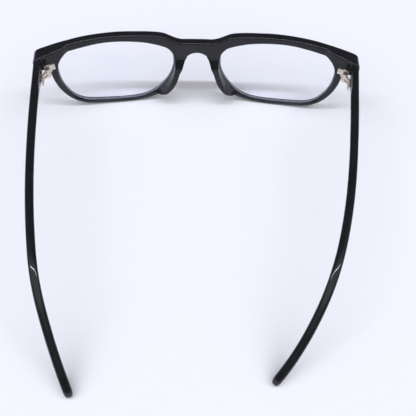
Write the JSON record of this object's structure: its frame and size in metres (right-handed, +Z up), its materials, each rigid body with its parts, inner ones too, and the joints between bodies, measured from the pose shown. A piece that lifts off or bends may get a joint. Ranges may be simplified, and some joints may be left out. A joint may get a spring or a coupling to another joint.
{
  "type": "eyeglasses frame",
  "caption": "Glossy black acetate eyeglasses frame with clear lenses, integral nose pads, riveted multi-knuckle hinges and folding temples bent down behind the ears.",
  "frame": {"origin": "bottom centre of the bounding box, on the surface that the open frame stands on, midway between the two endpieces", "axes": "+X to the wearer's right, +Y the way the wearer looks, +Z up with the frame standing on its rims and temple tips"},
  "size_m": [0.1396, 0.148, 0.0408],
  "materials": {
    "acetate": "polished black cellulose acetate",
    "clear_lens": "clear coated lens",
    "hinge_metal": "satin nickel silver",
    "screw_metal": "plain steel",
    "core_metal": "plain nickel silver wire"
  },
  "bodies": {
    "front_assembly": {"front": "acetate", "nose_pad_left": "acetate", "nose_pad_right": "acetate", "lens_left": "clear_lens", "lens_right": "clear_lens", "hinge_front_leaf_left": "hinge_metal", "hinge_front_leaf_right": "hinge_metal", "hinge_screw_left": "screw_metal", "hinge_screw_right": "screw_metal", "rivet_front_left_1": "hinge_metal", "rivet_front_left_2": "hinge_metal", "rivet_front_right_1": "hinge_metal", "rivet_front_right_2": "hinge_metal"},
    "left_temple": {"temple_left": "acetate", "core_wire_left": "core_metal", "hinge_temple_leaf_left": "hinge_metal", "rivet_temple_left_1": "hinge_metal", "rivet_temple_left_2": "hinge_metal"},
    "right_temple": {"temple_right": "acetate", "core_wire_right": "core_metal", "hinge_temple_leaf_right": "hinge_metal", "rivet_temple_right_1": "hinge_metal", "rivet_temple_right_2": "hinge_metal"}
  },
  "joints": [
    {"name": "temple_left_fold", "type": "hinge", "parent": "front_assembly", "child": "left_temple", "pos_m": [-0.06363, 0.05737, 0.03086], "axis": [0, 0, 1], "range_deg": [0, 84]},
    {"name": "temple_right_fold", "type": "hinge", "parent": "front_assembly", "child": "right_temple", "pos_m": [0.06363, 0.05737, 0.03086], "axis": [0, 0, -1], "range_deg": [0, 72]}
  ]
}
